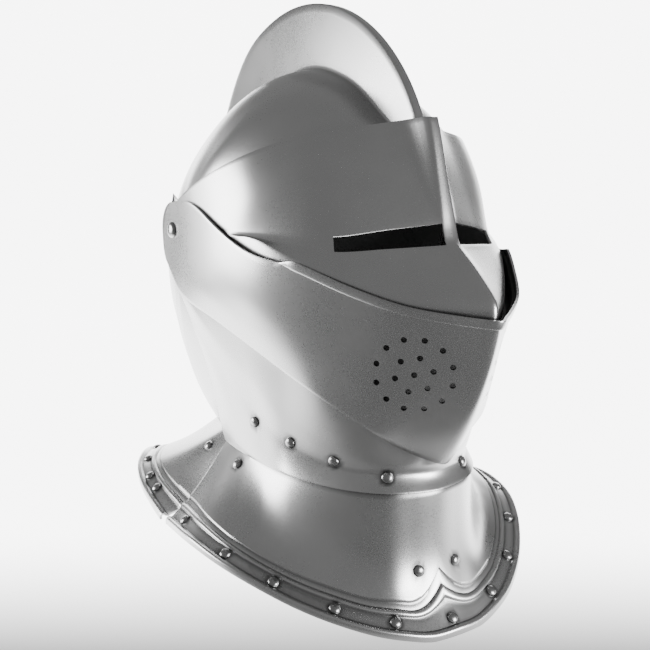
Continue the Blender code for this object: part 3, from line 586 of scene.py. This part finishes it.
def inward_of_rim(line, distance):
    """The points of profiles this far in from their ends, and the outward normals there."""
    steps = np.linalg.norm(np.diff(line[::-1], axis=0), axis=-1)
    at = np.concatenate([np.zeros((1, line.shape[1])), np.cumsum(steps, 0)])
    points, along = np.empty_like(line[0]), np.empty_like(line[0])
    for i in range(line.shape[1]):
        back = line[::-1, i]
        points[i] = [np.interp(distance[i], at[:, i], back[:, c]) for c in range(3)]
        near = [np.interp(max(distance[i] - 1.0, 0), at[:, i], back[:, c]) for c in range(3)]
        far = [np.interp(distance[i] + 1.0, at[:, i], back[:, c]) for c in range(3)]
        along[i] = np.array(near) - np.array(far)
    along = unit(along)
    side = unit(line[-1] * np.array([1.0, 1.0, 0.0]) - np.array([0.0, 15.0, 0.0]))
    normal = unit(side - along * (side * along).sum(-1, keepdims=True))
    return points, normal, at[-1]


def gorget_lattice(collar, neck, rim, hollow, cusp, notch=0.0):
    """Rows from inside the neck to the rim's upright edge, and how much painted shade each point
    gets.
    """
    end = rim + np.array([0.0, 0.0, REST_TURN])
    line = wing(neck, end, hollow)
    ridge = np.zeros(len(rim))
    if cusp:
        ridge = CUSP_RISE * np.clip(1 - np.abs(rim[:, 0]) / CUSP_HALF, 0, 1) ** 1.9
    length = inward_of_rim(line, ridge)[2]
    edge = BORDER[0].inward + ridge
    rows = [collar + (neck - collar) * k / 4 for k in range(5)]
    # Painted shade: the collar rows under the lower bevor's edge are fully darkened, standing in
    # for the shadow in that gap.
    dark = [np.ones(len(rim)) for k in range(5)]
    near_seam = np.clip(1 - np.linalg.norm(rim - rim[-1], axis=1) / NOTCH_SPREAD, 0, 1)
    steps = [(length - (length - edge) * k / FIELD_ROWS, 0.0, 0.0) for k in range(1, FIELD_ROWS)]
    steps += [(part.inward + part.cusp * ridge, part.height, part.grime) for part in BORDER]
    # Painted shade along the border's grooves comes from the table's last column.
    for distance, height, grime in steps:
        point, normal, _ = inward_of_rim(line, distance)
        point = point + normal * height
        point[:, 1] -= notch * np.clip(1 - distance / NOTCH_LENGTH, 0, 1) * near_seam
        rows.append(point)
        dark.append(np.full(len(rim), grime))
    for share in (0.25, 0.6, 1.0):
        point = end + (rim - end) * share
        point[:, 1] -= notch * near_seam
        rows.append(point)
        dark.append(np.zeros(len(rim)))
    return np.stack(rows), np.stack(dark)


def world(point, side=1):
    return Vector((side * point[0], PIVOT_Y - point[1], RIM_DROP + point[2])) * MM


def add_object(name, bm):
    mesh = bpy.data.meshes.new(name)
    bm.to_mesh(mesh)
    bm.free()
    obj = bpy.data.objects.new(name, mesh)
    bpy.context.scene.collection.objects.link(obj)
    return obj


def tree_of(obj):
    bm = bmesh.new()
    bm.from_mesh(obj.data)
    tree = BVHTree.FromBMesh(bm)
    bm.free()
    return tree


def sheet(name, lattice, gone=(), core=HEAD_MIDDLE):
    """The outer face on both sides; gone holds blocks (left, right, high, low) to leave open."""
    down, across = lattice.shape[0] - 1, lattice.shape[1] - 1
    bm = bmesh.new()
    for side in (1, -1):
        made = bmesh.ops.create_grid(bm, x_segments=across, y_segments=down, size=0.5)["verts"]
        place = {v: (round((v.co.x + 0.5) * across), round((v.co.y + 0.5) * down)) for v in made}
        lost = set()
        for left, right, high, low in gone:
            inside = {v for v, (i, j) in place.items() if left <= i <= right and high <= j <= low}
            lost |= {f for v in inside for f in v.link_faces if inside.issuperset(f.verts)}
        for v, (i, j) in place.items():
            v.co = world(lattice[j][i], side)
        if lost:
            bmesh.ops.delete(bm, geom=list(lost), context="FACES")
    bmesh.ops.remove_doubles(bm, verts=bm.verts, dist=0.02 * MM)
    bmesh.ops.dissolve_degenerate(bm, edges=bm.edges, dist=0.01 * MM)
    bmesh.ops.recalc_face_normals(bm, faces=bm.faces)
    row, column = down // 3, across // 2
    spot, out = world(lattice[row][column]), outward(lattice, core)[row][column]
    face = min(bm.faces, key=lambda f: (f.calc_center_median() - spot).length_squared)
    if face.normal.dot(Vector((out[0], -out[1], out[2]))) < 0:
        bmesh.ops.reverse_faces(bm, faces=bm.faces)
    return add_object(name, bm)


def bake(obj):
    """Makes the mesh what its modifiers show."""
    graph = bpy.context.evaluated_depsgraph_get()
    mesh = bpy.data.meshes.new_from_object(obj.evaluated_get(graph), depsgraph=graph)
    old = obj.data
    obj.modifiers.clear()
    obj.data = mesh
    bpy.data.meshes.remove(old)
    mesh.name = obj.name


def thicken(obj, materials, edge=0.35, holes=None):
    """Gives a sheet its thickness, with the second material on the inner face."""
    for material in materials:
        obj.data.materials.append(material)
    solid = obj.modifiers.new("Thickness", "SOLIDIFY")
    solid.material_offset = 1
    solid.thickness = PLATE * MM
    solid.offset = -1
    solid.use_even_offset = True
    solid.use_quality_normals = True
    if holes:
        boolean = obj.modifiers.new("Holes", "BOOLEAN")
        boolean.object = holes
        boolean.operation = "DIFFERENCE"
        boolean.solver = "EXACT"
    rim = obj.modifiers.new("Edge", "BEVEL")
    rim.width = edge * MM
    rim.segments = 2
    rim.limit_method = "ANGLE"
    rim.angle_limit = math.radians(58)
    obj.data.shade_smooth()
    bake(obj)
    if holes:
        bpy.data.objects.remove(holes)
    obj.data.shade_smooth()
    obj.data.set_sharp_from_angle(angle=math.radians(38))


def hole_tool(name, bm):
    """A cutter that leaves the inner material, painted shade, on the walls of its holes."""
    for face in bm.faces:
        face.material_index = 1
    return add_object(name, bm)


def pivot_holes():
    bm = bmesh.new()
    turn = Matrix.Translation(world((0, 0, 0))) @ Matrix.Rotation(math.radians(90), 4, "Y")
    bmesh.ops.create_cone(
        bm, cap_ends=True, segments=32, radius1=PIVOT_HOLE_RADIUS * MM,
        radius2=PIVOT_HOLE_RADIUS * MM, depth=2.4 * HALF_WIDTH * MM, matrix=turn,
    )
    return bm


def add_breath_holes(bm, tree):
    across, reach, angle = BREATH_CENTRE
    middle = polar(across * HALF_WIDTH, reach * PROW_RADIUS, angle)
    for side in (1, -1):
        centre, normal, _, _ = tree.find_nearest(world(middle, side))
        right = Vector((0, 0, 1)).cross(normal).normalized() * side
        up = normal.cross(right) * side
        for ring, count, first in BREATH_RINGS:
            for k in range(count):
                turn = math.radians(first + 360 * k / count)
                spot = centre + (right * math.cos(turn) + up * math.sin(turn)) * ring * MM
                point, lean, _, _ = tree.find_nearest(spot)
                aim = lean.to_track_quat("Z", "Y").to_matrix().to_4x4()
                bmesh.ops.create_cone(
                    bm, cap_ends=True, segments=20, radius1=BREATH_RADIUS * MM,
                    radius2=BREATH_RADIUS * MM, depth=4 * PLATE * MM,
                    matrix=Matrix.Translation(point) @ aim,
                )


def dome(bm, point, normal, radius, height, stem=((0.0, -0.3),), skirt=0.12):
    """A rivet's head on a point, with its stem, spun about the normal there."""
    foot = stem[-1][1]
    profile = [*stem, (radius, foot), (radius, skirt * height)]
    for k in range(1, 8):
        turn = math.radians(90 * k / 7)
        rise = height * (skirt + (1 - skirt) * math.sin(turn))
        profile.append((radius * math.cos(turn) ** 0.9, rise))
    profile[-1] = (0.0, height)
    verts = [bm.verts.new((r * MM, 0, z * MM)) for r, z in profile]
    edges = [bm.edges.new(pair) for pair in zip(verts, verts[1:])]
    before = set(bm.verts) - set(verts)
    bmesh.ops.spin(
        bm, geom=verts + edges, cent=(0, 0, 0), axis=(0, 0, 1), angle=2 * math.pi,
        steps=28, use_merge=True,
    )
    made = [v for v in bm.verts if v not in before]
    frame_at = Matrix.Translation(point) @ normal.to_track_quat("Z", "Y").to_matrix().to_4x4()
    bmesh.ops.transform(bm, matrix=frame_at, verts=made)


def rivets(name, nodes, carrier, material):
    """The rivets of one plate, each where its node stands, as one piece."""
    tree = tree_of(carrier)
    bm = bmesh.new()
    seats = []
    for node in nodes:
        low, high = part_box(node)
        middle = (Vector(low) + Vector(high)) / 2
        point, normal, _, _ = tree.find_nearest(middle)
        if normal.dot(middle - point) < 0:
            normal = -normal
        seats.append((point, normal))
        dome(bm, point, normal, RIVET_RADIUS, RIVET_HEIGHT)
    bmesh.ops.remove_doubles(bm, verts=bm.verts, dist=0.003 * MM)
    bmesh.ops.recalc_face_normals(bm, faces=bm.faces)
    obj = add_object(name, bm)
    obj.data.materials.append(material)
    obj.data.shade_smooth()
    obj.data.set_sharp_from_angle(angle=math.radians(50))
    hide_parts(*nodes)
    return obj, seats


def pivot_bolts(material):
    """Both bolts: clenched inside the skull, through the arms, domed outside."""
    inside = SKULL_HALF - PLATE - BOLT_GAP - HALF_WIDTH - SEAT_GAP
    bm = bmesh.new()
    for side in (1, -1):
        seat = world((HALF_WIDTH + SEAT_GAP, 0, 0), side)
        stem = (
            (0.0, inside - 1.4), (PIVOT_HEAD_RADIUS - 0.3, inside - 1.4),
            (PIVOT_HEAD_RADIUS, inside - 1.1), (PIVOT_HEAD_RADIUS, inside),
            (PIVOT_SHANK_RADIUS, inside), (PIVOT_SHANK_RADIUS, 0.0),
        )
        dome(bm, seat, Vector((side, 0, 0)), PIVOT_HEAD_RADIUS, PIVOT_HEAD_HEIGHT, stem)
    bmesh.ops.remove_doubles(bm, verts=bm.verts, dist=0.003 * MM)
    bmesh.ops.recalc_face_normals(bm, faces=bm.faces)
    bolts = add_object("pivot_bolts", bm)
    bolts.data.materials.append(material)
    bolts.data.shade_smooth()
    bolts.data.set_sharp_from_angle(angle=math.radians(50))
    return bolts


def paint_shade(obj, seats, lattice=None, grime=None):
    """Paints shade into a plate round its rivets and along its grooves, in a float attribute."""
    layer = obj.data.attributes.new("grime", "FLOAT", "POINT")
    values = np.zeros(len(obj.data.vertices), np.float32)
    coords = np.empty(len(values) * 3, np.float32)
    obj.data.vertices.foreach_get("co", coords)
    coords = coords.reshape(-1, 3)
    if lattice is not None:
        spots = lattice.reshape(-1, 3)
        near = KDTree(len(spots))
        for k, spot in enumerate(spots):
            near.insert(world(spot), k)
        near.balance()
        dark = grime.reshape(-1)
        for k, (x, y, z) in enumerate(coords):
            values[k] = dark[near.find((abs(x), y, z))[1]] * 0.8
    # Painted shadow: a dark ring round each rivet's head.
    for point, _ in seats:
        away = np.linalg.norm(coords - np.array(point), axis=1) / MM
        values = np.maximum(values, np.clip((RIVET_RADIUS + 2.2 - away) / 1.4, 0, 1))
    layer.data.foreach_set("value", values)


def steel(name, shade, roughness, grain=0.05, mottle=0.05):
    """Satin steel: a fine grain, faint mottling and painted shade round the rivets and in the
    grooves.
    """
    material = bpy.data.materials.new(name)
    material.use_nodes = True
    tree = material.node_tree
    shader = tree.nodes["Principled BSDF"]
    shader.inputs["Metallic"].default_value = 1
    place = tree.nodes.new("ShaderNodeTexCoord")
    link = tree.links.new

    def noise(scale, detail):
        made = tree.nodes.new("ShaderNodeTexNoise")
        made.inputs["Scale"].default_value = scale
        made.inputs["Detail"].default_value = detail
        link(place.outputs["Object"], made.inputs["Vector"])
        return made.outputs["Fac"]

    def spread(source, low, high):
        made = tree.nodes.new("ShaderNodeMapRange")
        made.inputs["From Min"].default_value = 0.3
        made.inputs["From Max"].default_value = 0.7
        made.inputs["To Min"].default_value = low
        made.inputs["To Max"].default_value = high
        link(source, made.inputs["Value"])
        return made.outputs["Result"]

    def combine(kind, a, b):
        made = tree.nodes.new("ShaderNodeMath")
        made.operation = kind
        for socket, value in zip(made.inputs, (a, b)):
            if isinstance(value, float):
                socket.default_value = value
            else:
                link(value, socket)
        return made.outputs[0]

    cloud, speck = noise(14.0, 4.0), noise(900.0, 2.0)
    # Painted shade: the colour is darkened where the plate's shade attribute is high.
    shade_attribute = tree.nodes.new("ShaderNodeAttribute")
    shade_attribute.attribute_name = "grime"
    unshaded_share = combine("SUBTRACT", 1.0, combine("MULTIPLY", shade_attribute.outputs["Fac"], 0.7))
    bright = combine("MULTIPLY", spread(cloud, shade * (1 - mottle), shade * (1 + mottle)), unshaded_share)
    colour = tree.nodes.new("ShaderNodeCombineColor")
    for socket in colour.inputs:
        link(bright, socket)
    link(colour.outputs["Color"], shader.inputs["Base Color"])
    broad = spread(cloud, roughness - 0.03, roughness + 0.03)
    rough = combine("ADD", broad, spread(speck, -0.02, 0.02))
    link(rough, shader.inputs["Roughness"])
    bump = tree.nodes.new("ShaderNodeBump")
    bump.inputs["Strength"].default_value = grain
    bump.inputs["Distance"].default_value = 0.4 * MM
    link(speck, bump.inputs["Height"])
    link(bump.outputs["Normal"], shader.inputs["Normal"])
    return material


def dress(obj, body):
    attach(obj, body)


def names(stem):
    return sorted(n for n in frame["nodes"] if n.startswith(stem))


def make_plates():
    plain = steel("satin_steel", 0.44, 0.29, 0.012)
    # Painted shade: the inner faces and hole walls are near-black steel so the slit and holes read
    # as shadowed.
    dark = steel("inner_painted_shade", 0.035, 0.7, 0.0)
    both = (plain, dark)
    polished = steel("polished_steel", 0.3, 0.26, 0.02, 0.02)

    skull = sheet("skull_plate", skull_lattice())
    thicken(skull, both)
    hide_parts("skull")
    dress(skull, "skull")

    lattice = fan(
        VISOR_ROWS, VISOR_HALF, CREST_RADIUS, VISOR_ROW_STEPS, VISOR_STEPS, VISOR_SHARP,
        VISOR_CORNERS,
    )
    visor = sheet("visor_plate", soften(lattice, 2, 1), [SLIT_BLOCK])
    thicken(visor, both, 0.35, hole_tool("visor_holes", pivot_holes()))
    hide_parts("visor")
    dress(visor, "visor")

    lattice = soften(fan(BEVOR_ROWS, HALF_WIDTH, PROW_RADIUS, BEVOR_ROW_STEPS, BEVOR_STEPS), 2, 3)
    bevor = sheet("upper_bevor_plate", flanged(lattice, FLANGE_LAST))
    holes = pivot_holes()
    add_breath_holes(holes, tree_of(bevor))
    thicken(bevor, both, 0.3, hole_tool("bevor_holes", holes))
    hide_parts("upper_bevor")
    dress(bevor, "upper_bevor")

    throat = fan(THROAT_ROWS, THROAT_HALF, THROAT_RADIUS, THROAT_ROW_STEPS, THROAT_STEPS)
    lower = sheet("lower_bevor_plate", throat)
    thicken(lower, both, 0.35, hole_tool("lower_holes", pivot_holes()))
    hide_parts("lower_bevor")
    neck_rivets, seats = rivets("neck_rivets", names("neck_rivet"), lower, polished)
    paint_shade(lower, seats)
    dress(lower, "lower_bevor")
    dress(neck_rivets, "lower_bevor")

    normal = outward(throat)
    neck = throat[-1] - normal[-1] * LAYER
    upper = throat[FLARE_ROW] - normal[FLARE_ROW] * LAYER
    collar = neck + unit(upper - neck) * COLLAR
    rim, hollow = rim_curve(FRONT_RIM, GORGET_AHEAD, THROAT_STEPS)
    lattice, grime = gorget_lattice(collar, neck, rim, hollow, True)
    front = sheet("front_gorget", lattice, core=BELOW)
    thicken(front, both, 0.3)
    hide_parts("front_gorget_plate")
    front_rivets, seats = rivets(
        "front_rivets", names("front_rim_rivet") + names("front_middle") + names("front_seam"),
        front, polished,
    )
    paint_shade(front, seats, lattice, grime)
    dress(front, "lower_bevor")
    dress(front_rivets, "lower_bevor")

    neck = curve(rear_neck(throat[-1][-1][1] - SEAM_GAP)[None], REAR_STEPS)[0]
    rim, hollow = rim_curve(REAR_RIM, -GORGET_BEHIND, REAR_STEPS)
    collar = neck + np.array([0.0, 0.0, COLLAR + 2])
    lattice, grime = gorget_lattice(collar, neck, rim, hollow, False, NOTCH_WIDTH)
    rear = sheet("rear_gorget", lattice, core=BELOW)
    thicken(rear, both, 0.3)
    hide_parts("rear_gorget_plate")
    rear_rivets, seats = rivets(
        "rear_rivets", names("rear_rim_rivet") + names("rear_seam"), rear, polished
    )
    paint_shade(rear, seats, lattice, grime)
    dress(rear, "skull")
    dress(rear_rivets, "skull")

    bolts = pivot_bolts(polished)
    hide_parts("pivot_bolt_left", "pivot_bolt_right")
    dress(bolts, "skull")


TARGET = (0.0, -0.00493, 0.16026)
CAMERA_TURN, CAMERA_RISE, CAMERA_AWAY = math.radians(-32.0), math.radians(9.72), 0.5973


def add_camera():
    data = bpy.data.cameras.new("camera")
    data.lens, data.sensor_width = 48.09, 36
    camera = bpy.data.objects.new("camera", data)
    back = Vector((
        math.sin(CAMERA_TURN) * math.cos(CAMERA_RISE),
        -math.cos(CAMERA_TURN) * math.cos(CAMERA_RISE),
        math.sin(CAMERA_RISE),
    ))
    camera.location = Vector(TARGET) + back * CAMERA_AWAY
    camera.rotation_euler = back.to_track_quat("Z", "Y").to_euler()
    bpy.context.scene.collection.objects.link(camera)
    bpy.context.scene.camera = camera
    return camera


def studio(side, away, up):
    """A place by its distance to the camera's right, away from the camera, and above the floor."""
    turn = Matrix.Rotation(CAMERA_TURN, 3, "Z")
    return turn @ Vector((side, away, up))


def add_area(name, place, aim, size, power):
    data = bpy.data.lights.new(name, "AREA")
    data.shape, data.size, data.size_y, data.energy = "RECTANGLE", size[0], size[1], power
    light = bpy.data.objects.new(name, data)
    start, end = studio(*place), studio(*aim)
    light.location = start
    light.rotation_euler = (start - end).to_track_quat("Z", "Y").to_euler()
    bpy.context.scene.collection.objects.link(light)


# Painted light: strength and extent of the glow painted on the floor and wall behind the helmet.
GLOW = 7.0
GLOW_AWAY = (-0.19, 0.03)
GLOW_SIDE = (0.28, 0.8)
GLOW_WIDENS = 0.374


def painted_glow_paper():
    """Grey paper with painted light: a glow painted on it behind the helmet, as far to the sides as
    the picture shows.
    """
    pale = bpy.data.materials.new("studio_painted_glow")
    pale.use_nodes = True
    tree = pale.node_tree
    shader = tree.nodes["Principled BSDF"]
    shader.inputs["Base Color"].default_value = (0.25, 0.25, 0.25, 1)
    shader.inputs["Roughness"].default_value = 0.9
    shader.inputs["Specular IOR Level"].default_value = 0.1
    shader.inputs["Emission Color"].default_value = (1, 1, 1, 1)
    place = tree.nodes.new("ShaderNodeTexCoord")
    link = tree.links.new

    def along(direction):
        made = tree.nodes.new("ShaderNodeVectorMath")
        made.operation = "DOT_PRODUCT"
        made.inputs[1].default_value = direction
        link(place.outputs["Object"], made.inputs[0])
        return made.outputs["Value"]

    def ramp(source, start, end, low, high):
        made = tree.nodes.new("ShaderNodeMapRange")
        made.interpolation_type = "SMOOTHSTEP"
        ends = ("From Min", "From Max", "To Min", "To Max")
        for name, value in zip(ends, (start, end, low, high)):
            made.inputs[name].default_value = value
        link(source, made.inputs["Value"])
        return made.outputs["Result"]

    def combine(kind, a, b):
        made = tree.nodes.new("ShaderNodeMath")
        made.operation = kind
        link(a, made.inputs[0])
        link(b, made.inputs[1])
        return made.outputs[0]

    behind = ramp(along(studio(0, 1, 0)), *GLOW_AWAY, 0.0, GLOW)
    left = ramp(along(studio(-1, -GLOW_WIDENS, 0)), *GLOW_SIDE, 1.0, 0.0)
    right = ramp(along(studio(1, -GLOW_WIDENS, 0)), *GLOW_SIDE, 1.0, 0.0)
    glow = combine("MULTIPLY", behind, combine("MULTIPLY", left, right))
    link(glow, shader.inputs["Emission Strength"])
    return pale


def add_stage():
    """A grey floor that turns up into a wall behind, pale where painted glow lies on it."""
    bm = bmesh.new()
    line = [(-2.5, 0.0), (1.0, 0.0)]
    for k in range(1, 9):
        turn = math.radians(90 * k / 8)
        line.append((1.0 + 0.8 * math.sin(turn), 0.8 - 0.8 * math.cos(turn)))
    line.append((1.8, 0.95))
    verts = [bm.verts.new(studio(-3, away, up)) for away, up in line]
    edges = [bm.edges.new(pair) for pair in zip(verts, verts[1:])]
    made = bmesh.ops.extrude_edge_only(bm, edges=edges)["geom"]
    moved = [g for g in made if isinstance(g, bmesh.types.BMVert)]
    bmesh.ops.translate(bm, vec=studio(6, 0, 0), verts=moved)
    bmesh.ops.recalc_face_normals(bm, faces=bm.faces)
    stage = add_object("studio_floor", bm)
    stage.data.shade_smooth()
    stage.data.materials.append(painted_glow_paper())


def add_light():
    world_light = bpy.data.worlds.new("studio")
    bpy.context.scene.world = world_light
    world_light.use_nodes = True
    sky = world_light.node_tree.nodes["Background"]
    sky.inputs["Color"].default_value = (1, 1, 1, 1)
    sky.inputs["Strength"].default_value = 0.3
    middle = (0, 0, 0.2)
    add_area("left", (-1.24, 0.05, 0.3), middle, (0.8, 0.7), 28)
    add_area("right", (1.05, -0.72, 0.2), middle, (0.6, 0.7), 32)


make_plates()
add_camera()
add_stage()
add_light()
